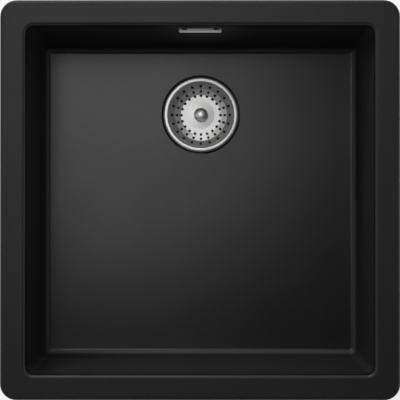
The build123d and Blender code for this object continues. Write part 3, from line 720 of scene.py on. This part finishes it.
def merge(target, part, place):
    """Moves a part into its place and adds it to another."""
    bmesh.ops.transform(part, matrix=place, verts=part.verts)
    mesh = bpy.data.meshes.new("part")
    part.to_mesh(mesh)
    part.free()
    target.from_mesh(mesh)
    bpy.data.meshes.remove(mesh)


def bevelled(shape, edges, width, segments):
    """Rounds edges of a shape."""
    bmesh.ops.bevel(
        shape,
        geom=edges,
        offset=width,
        offset_type="OFFSET",
        affect="EDGES",
        segments=segments,
        profile=0.5,
        material=-1,
    )


def round_rings(shape, width):
    """Rounds the sharp rings of a turned shape."""
    rings = []
    for edge in shape.edges:
        level = abs(edge.verts[0].co.z - edge.verts[1].co.z) < level_gap
        if level and edge.is_manifold and edge.calc_face_angle() > ring_angle:
            rings.append(edge)
    bevelled(shape, rings, width, ring_bevel_steps)


# Bowl, waste and strainer


class SINK_OT_bowl(bpy.types.Operator):
    """Finish the moulded bowl"""

    bl_idname = "sink.bowl"
    bl_label = "Bowl"

    def execute(self, context):
        finish_nodes(stone_composite(context.scene.sink_finishes), "bowl")
        return {"FINISHED"}


class SINK_OT_drain_cup(bpy.types.Operator):
    """Finish the pressed cup of the drain"""

    bl_idname = "sink.drain_cup"
    bl_label = "Drain cup"

    def execute(self, context):
        finish_nodes(cup_steel(context.scene.sink_finishes), "drain_flange")
        return {"FINISHED"}


class SINK_OT_strainer(bpy.types.Operator):
    """Finish the strainer's dish, knob, stem, nut and washer, and the flange screws"""

    bl_idname = "sink.strainer"
    bl_label = "Strainer"

    def execute(self, context):
        finishes = context.scene.sink_finishes
        finish_nodes(strainer_steel(finishes), "strainer_basket")
        finish_nodes(bright_chrome(finishes), "strainer_knob")
        plain = plain_metal("screw_steel", finishes.steel, finishes.screw_roughness)
        finish_nodes(plain, "strainer_stem", "stopper_nut")
        # Painted shade: the stopper's washer and the flange screws take the dark dull colour, standing in
        # for the shade under the strainer
        filmed = plain_metal("filmed_steel", finishes.cup_painted_shade, finishes.painted_shade_roughness)
        finish_nodes(filmed, "stopper_plate", "flange_screws")
        return {"FINISHED"}


class SINK_OT_seals(bpy.types.Operator):
    """Finish the rubber rings, gaskets and the stopper's disc"""

    bl_idname = "sink.seals"
    bl_label = "Seals"

    def execute(self, context):
        finish_nodes(
            black_rubber(context.scene.sink_finishes),
            "flange_seal",
            "body_gasket",
            "overflow_gasket",
            "overflow_o_ring",
            "pipe_seal",
            "stopper_seal",
        )
        return {"FINISHED"}


# Overflow and plumbing


class SINK_OT_overflow_cover(bpy.types.Operator):
    """Finish the overflow cover and its screws"""

    bl_idname = "sink.overflow_cover"
    bl_label = "Overflow cover"

    def execute(self, context):
        finishes = context.scene.sink_finishes
        finish_nodes(cover_steel(finishes), "overflow_cover")
        # The two screws of the overflow cover take a plain dark colour
        dark_screw_finish = plain_metal("black_screw_steel", finishes.screw_black, finishes.black_roughness)
        finish_nodes(dark_screw_finish, "overflow_screws")
        return {"FINISHED"}


class SINK_OT_plumbing(bpy.types.Operator):
    """Finish the waste body, overflow housing, pipe and union nut"""

    bl_idname = "sink.plumbing"
    bl_label = "Plumbing"

    def execute(self, context):
        finishes = context.scene.sink_finishes
        roughness = finishes.plastic_roughness
        pale = moulded_plastic("waste_plastic", finishes.plastic, roughness)
        finish_nodes(pale, "waste_body", "overflow_housing", "overflow_pipe")
        nut_colour = shaded(finishes.plastic, finishes.nut_shade)
        finish_nodes(moulded_plastic("nut_plastic", nut_colour, roughness), "pipe_nut")
        return {"FINISHED"}


def waste_shell(sizes):
    """Flange, chamber, funnel and collar of the waste body, and its outlet with the thread."""
    top = body_high.z
    foot = body_low.z
    shell = sizes.body_radius + sizes.body_wall
    rate = math.tan(sizes.funnel_slope)
    slant = sizes.body_wall / math.cos(sizes.funnel_slope)
    flange_foot = top - sizes.flange_height
    chamber_foot = top - sizes.chamber_height
    funnel_top = chamber_foot + sizes.body_wall * rate - slant
    funnel_foot = chamber_foot - (sizes.body_radius - sizes.thread_radius) * rate - slant
    funnel_throat = chamber_foot - (sizes.body_radius - sizes.outlet_bore) * rate
    collar_foot = foot + sizes.thread_length
    collar_top = collar_foot + sizes.collar_height
    root = sizes.thread_radius - sizes.thread_depth
    profile = [
        (sizes.body_radius, top),
        (sizes.flange_radius, top),
        (sizes.flange_radius, flange_foot),
        (shell, flange_foot),
        (shell, funnel_top),
        (sizes.thread_radius, funnel_foot),
        (sizes.thread_radius, collar_top),
        (sizes.collar_radius, collar_top),
        (sizes.collar_radius, collar_foot),
        (root, collar_foot),
        (root, foot),
        (sizes.outlet_bore, foot),
        (sizes.outlet_bore, funnel_throat),
        (sizes.body_radius, chamber_foot),
        (sizes.body_radius, top),
    ]
    shape = bmesh.new()
    turned(shape, profile, body_steps)
    round_rings(shape, sizes.edge_round)
    threaded(
        shape,
        sizes.thread_radius,
        sizes.thread_depth,
        sizes.thread_pitch,
        foot + sizes.edge_round,
        collar_foot - sizes.thread_pitch / 2,
        outlet_thread_steps,
    )
    return shape


def add_ribs(shape, sizes):
    """Adds the ribs between the chamber and the flange."""
    shell = sizes.body_radius + sizes.body_wall
    inner = shell - sizes.body_wall / 2
    rib_top = body_high.z - sizes.flange_height
    rib_foot = rib_top - sizes.rib_drop
    outline = [
        (inner, rib_top),
        (sizes.flange_radius - sizes.rib_width, rib_top),
        (shell, rib_foot),
        (inner, rib_foot),
    ]
    for index in range(rib_count):
        rib = bmesh.new()
        corners = [rib.verts.new((across, -sizes.rib_width / 2, up)) for across, up in outline]
        face = rib.faces.new(corners)
        pushed = bmesh.ops.extrude_face_region(rib, geom=[face])["geom"]
        moved = [item for item in pushed if isinstance(item, bmesh.types.BMVert)]
        bmesh.ops.translate(rib, verts=moved, vec=(0.0, sizes.rib_width, 0.0))
        merge(shape, rib, Matrix.Rotation(math.tau * index / rib_count, 4, "Z"))


def add_posts(shape, sizes):
    """Adds the posts that take the screws of the drain cup."""
    foot = body_high.z - sizes.chamber_height
    top = cup_low.z + sizes.post_overlap
    profile = [(0.0, foot), (sizes.post_radius, foot), (sizes.post_radius, top), (0.0, top)]
    for index in range(post_count):
        post = bmesh.new()
        turned(post, profile, post_steps)
        turn = Matrix.Rotation(first_post + math.tau * index / post_count, 4, "Z")
        merge(shape, post, turn @ Matrix.Translation((sizes.post_circle, 0.0, 0.0)))


def overflow_port(sizes, length):
    """Tube with a socket for the overflow pipe."""
    inner = sizes.port_socket - sizes.port_step
    shoulder = length - sizes.port_depth
    profile = [
        (inner, 0.0),
        (sizes.port_radius, 0.0),
        (sizes.port_radius, length),
        (sizes.port_socket, length),
        (sizes.port_socket, shoulder),
        (inner, shoulder),
        (inner, 0.0),
    ]
    port = bmesh.new()
    turned(port, profile, port_steps)
    round_rings(port, sizes.edge_round / 2)
    return port


class SINK_OT_waste_body(bpy.types.Operator):
    """Draw the waste body with its ribs, overflow port and outlet thread"""

    bl_idname = "sink.waste_body"
    bl_label = "Waste body"

    def execute(self, context):
        sizes = context.scene.sink_plumbing
        middle = waste_shell(sizes)
        add_ribs(middle, sizes)
        add_posts(middle, sizes)
        body = bmesh.new()
        merge(body, middle, Matrix.Translation(drain_centre))
        nut_low, nut_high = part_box("pipe_nut")
        port_level = (nut_low.z + nut_high.z) / 2
        port_root = drain_y + sizes.body_radius
        port = overflow_port(sizes, body_high.y - port_root)
        along_y = Matrix.Rotation(math.radians(-90), 4, "X")
        merge(body, port, Matrix.Translation((0.0, port_root, port_level)) @ along_y)
        material = bpy.data.materials["waste_plastic"]
        add_piece("waste_body_moulded", body, material, replaced=("waste_body",))
        return {"FINISHED"}


# Fixing clips


def clip_points():
    """Point on the hinge of each clip, where its screw stands."""
    return [Vector(joint["pos_m"]) for joint in frame["joints"] if joint["type"] == "hinge"]


def clip_screw(sizes, low, high):
    """Hexagon screw with its thread, on the Z axis."""
    seat = low + sizes.clip_head_height
    head_radius = sizes.clip_head_width / math.sqrt(3)
    core = sizes.clip_screw_radius - sizes.clip_thread_depth
    screw = bmesh.new()
    bmesh.ops.create_cone(
        screw,
        cap_ends=True,
        segments=hexagon_sides,
        radius1=head_radius,
        radius2=head_radius,
        depth=sizes.clip_head_height,
        matrix=Matrix.Translation((0.0, 0.0, low + sizes.clip_head_height / 2)),
    )
    bevelled(screw, screw.edges, sizes.clip_head_edge, head_bevel_steps)
    root = seat - sizes.clip_head_edge / 2
    tip = high - sizes.clip_thread_depth
    turned(screw, [(0.0, root), (core, root), (core, tip), (0.0, high)], screw_steps)
    threaded(
        screw,
        sizes.clip_screw_radius,
        sizes.clip_thread_depth,
        sizes.clip_thread_pitch,
        seat,
        tip,
        screw_steps,
    )
    return screw


class SINK_OT_clips(bpy.types.Operator):
    """Finish the swivel clips and the brass inserts"""

    bl_idname = "sink.clips"
    bl_label = "Clips"

    def execute(self, context):
        finishes = context.scene.sink_finishes
        clips = [name for name in frame["nodes"] if name.startswith("clip_")]
        clips.remove("clip_inserts")
        clips.remove("clip_screws")
        finish_nodes(plain_metal("clip_steel", finishes.zinc, finishes.zinc_roughness), *clips)
        finish_nodes(plain_metal("insert_brass", finishes.brass, finishes.brass_roughness), "clip_inserts")
        return {"FINISHED"}


class SINK_OT_clip_screws(bpy.types.Operator):
    """Draw the hexagon screws of the clips with their threads"""

    bl_idname = "sink.clip_screws"
    bl_label = "Clip screws"

    def execute(self, context):
        low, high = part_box("clip_screws")
        screw = clip_screw(context.scene.sink_fasteners, low.z, high.z)
        screws = bmesh.new()
        for point in clip_points():
            merge(screws, screw.copy(), Matrix.Translation((point.x, point.y, 0.0)))
        screw.free()
        material = bpy.data.materials["clip_steel"]
        add_piece("clip_screws_threaded", screws, material, replaced=("clip_screws",))
        return {"FINISHED"}


# Stage


def pale_floor(stage):
    """Pale floor that keeps the sink's shadow, turns white further out and is clear from below."""
    material = bpy.data.materials.new("pale_floor")
    material.use_nodes = True
    tree = material.node_tree
    tree.nodes.clear()
    place = add(tree, "ShaderNodeTexCoord").outputs["Object"]
    distance = vectors(tree, "LENGTH", {0: place})["Value"]
    away = slope(tree, distance, stage.shadow_reach, stage.floor_radius)
    spill = mixed_colour(tree, away, stage.floor_colour, stage.backdrop_colour)
    matt = add(tree, "ShaderNodeBsdfDiffuse", {"Color": spill})
    plain = add(tree, "ShaderNodeEmission", {"Color": white, "Strength": 1.0})
    path = add(tree, "ShaderNodeLightPath").outputs
    mirrored = sums(tree, "MAXIMUM", path["Is Glossy Ray"], path["Is Transmission Ray"])
    seen = sums(tree, "MAXIMUM", path["Is Camera Ray"], mirrored)
    share = product(tree, seen, blend_numbers(tree, away, stage.floor_white, 1.0))
    mix = add(tree, "ShaderNodeMixShader", {"Fac": share, 1: matt.outputs[0], 2: plain.outputs[0]})
    under = add(tree, "ShaderNodeNewGeometry").outputs["Backfacing"]
    clear = add(tree, "ShaderNodeBsdfTransparent")
    sided = add(tree, "ShaderNodeMixShader", {"Fac": under, 1: mix.outputs[0], 2: clear.outputs[0]})
    add(tree, "ShaderNodeOutputMaterial", {"Surface": sided.outputs[0]})
    return material


def build_floor(scene, stage):
    """Level floor that curves up into a round backdrop."""
    ground = cad_box[0][2] - floor_gap
    cove = stage.backdrop_radius - stage.floor_radius
    profile = [(0.0, ground)]
    for index in range(cove_steps + 1):
        turn = math.pi / 2 * index / cove_steps
        profile.append((stage.floor_radius + cove * math.sin(turn), ground + cove * (1 - math.cos(turn))))
    profile.append((stage.backdrop_radius, ground + stage.backdrop_height))
    shape = bmesh.new()
    turned(shape, profile, stage_steps)
    bmesh.ops.recalc_face_normals(shape, faces=shape.faces)
    level = min(shape.faces, key=lambda face: face.calc_center_median().length)
    if level.normal.z < 0.0:
        bmesh.ops.reverse_faces(shape, faces=shape.faces)
    mesh = bpy.data.meshes.new("floor")
    shape.to_mesh(mesh)
    shape.free()
    mesh.materials.append(pale_floor(stage))
    floor = bpy.data.objects.new("floor", mesh)
    scene.collection.objects.link(floor)


def soft_lamp(scene, name, place, size, radiance):
    """A softbox of even brightness that faces the sink."""
    lamp = bpy.data.lights.new(name, "AREA")
    lamp.shape = "RECTANGLE"
    lamp.size, lamp.size_y = size
    lamp.energy = radiance * math.pi * size[0] * size[1]
    holder = bpy.data.objects.new(name, lamp)
    holder.location = place
    holder.rotation_euler = (-Vector(place)).to_track_quat("-Z", "Y").to_euler()
    holder.visible_camera = False
    scene.collection.objects.link(holder)


def light_room(scene, stage):
    """Faint even light from all round."""
    world = bpy.data.worlds.new("studio_room")
    world.use_nodes = True
    tree = world.node_tree
    tree.nodes.clear()
    background = add(tree, "ShaderNodeBackground", {"Color": white, "Strength": stage.room})
    add(tree, "ShaderNodeOutputWorld", {"Surface": background.outputs[0]})
    scene.world = world


def place_camera(scene, stage):
    """Camera that looks down on the middle of the rim, with the back of the sink at the top."""
    data = bpy.data.cameras.new("camera")
    data.sensor_width = sensor_width
    data.lens = stage.lens
    data.clip_end = view_reach
    camera = bpy.data.objects.new("camera", data)
    place = Vector(stage.camera_place)
    backward = (place - Vector((0.0, 0.0, cad_box[1][2]))).normalized()
    right = Vector((0.0, 1.0, 0.0)).cross(backward).normalized()
    upward = backward.cross(right)
    turn = Matrix((right, upward, backward)).transposed().to_4x4()
    camera.matrix_world = Matrix.Translation(place) @ turn
    scene.collection.objects.link(camera)
    scene.camera = camera


class SINK_OT_stage(bpy.types.Operator):
    """Build the floor, lamps, room and camera"""

    bl_idname = "sink.stage"
    bl_label = "Stage"

    def execute(self, context):
        scene = context.scene
        stage = scene.sink_stage
        scene.view_settings.view_transform = "Standard"
        build_floor(scene, stage)
        for name in lamp_names:
            place = getattr(stage, f"{name}_place")
            size = getattr(stage, f"{name}_size")
            soft_lamp(scene, name, place, size, getattr(stage, f"{name}_radiance"))
        light_room(scene, stage)
        place_camera(scene, stage)
        return {"FINISHED"}


class SINK_PT_pieces(bpy.types.Panel):
    """Steps that finish the sink"""

    bl_label = "Single bowl sink"
    bl_idname = "SINK_PT_pieces"
    bl_space_type = "VIEW_3D"
    bl_region_type = "UI"
    bl_category = "Sink"

    def draw(self, context):
        for operator in operators:
            self.layout.operator(operator.bl_idname)
        for name in setting_groups:
            group = getattr(context.scene, name)
            column = self.layout.column()
            for key in group.__annotations__:
                column.prop(group, key)


operators = (
    SINK_OT_bowl,
    SINK_OT_drain_cup,
    SINK_OT_strainer,
    SINK_OT_seals,
    SINK_OT_overflow_cover,
    SINK_OT_plumbing,
    SINK_OT_waste_body,
    SINK_OT_clips,
    SINK_OT_clip_screws,
    SINK_OT_stage,
)
setting_groups = {
    "sink_finishes": SinkFinishes,
    "sink_fasteners": SinkFasteners,
    "sink_plumbing": SinkPlumbing,
    "sink_stage": SinkStage,
}
classes = (*setting_groups.values(), *operators, SINK_PT_pieces)


def register():
    for kind in classes:
        bpy.utils.register_class(kind)
    for name, kind in setting_groups.items():
        setattr(bpy.types.Scene, name, bpy.props.PointerProperty(type=kind))


def unregister():
    for name in setting_groups:
        delattr(bpy.types.Scene, name)
    for kind in reversed(classes):
        bpy.utils.unregister_class(kind)


def main():
    register()
    build_groups()
    bpy.ops.sink.bowl()
    bpy.ops.sink.drain_cup()
    bpy.ops.sink.strainer()
    bpy.ops.sink.seals()
    bpy.ops.sink.overflow_cover()
    bpy.ops.sink.plumbing()
    bpy.ops.sink.waste_body()
    bpy.ops.sink.clips()
    bpy.ops.sink.clip_screws()
    bpy.ops.sink.stage()


if __name__ == "__main__":
    main()
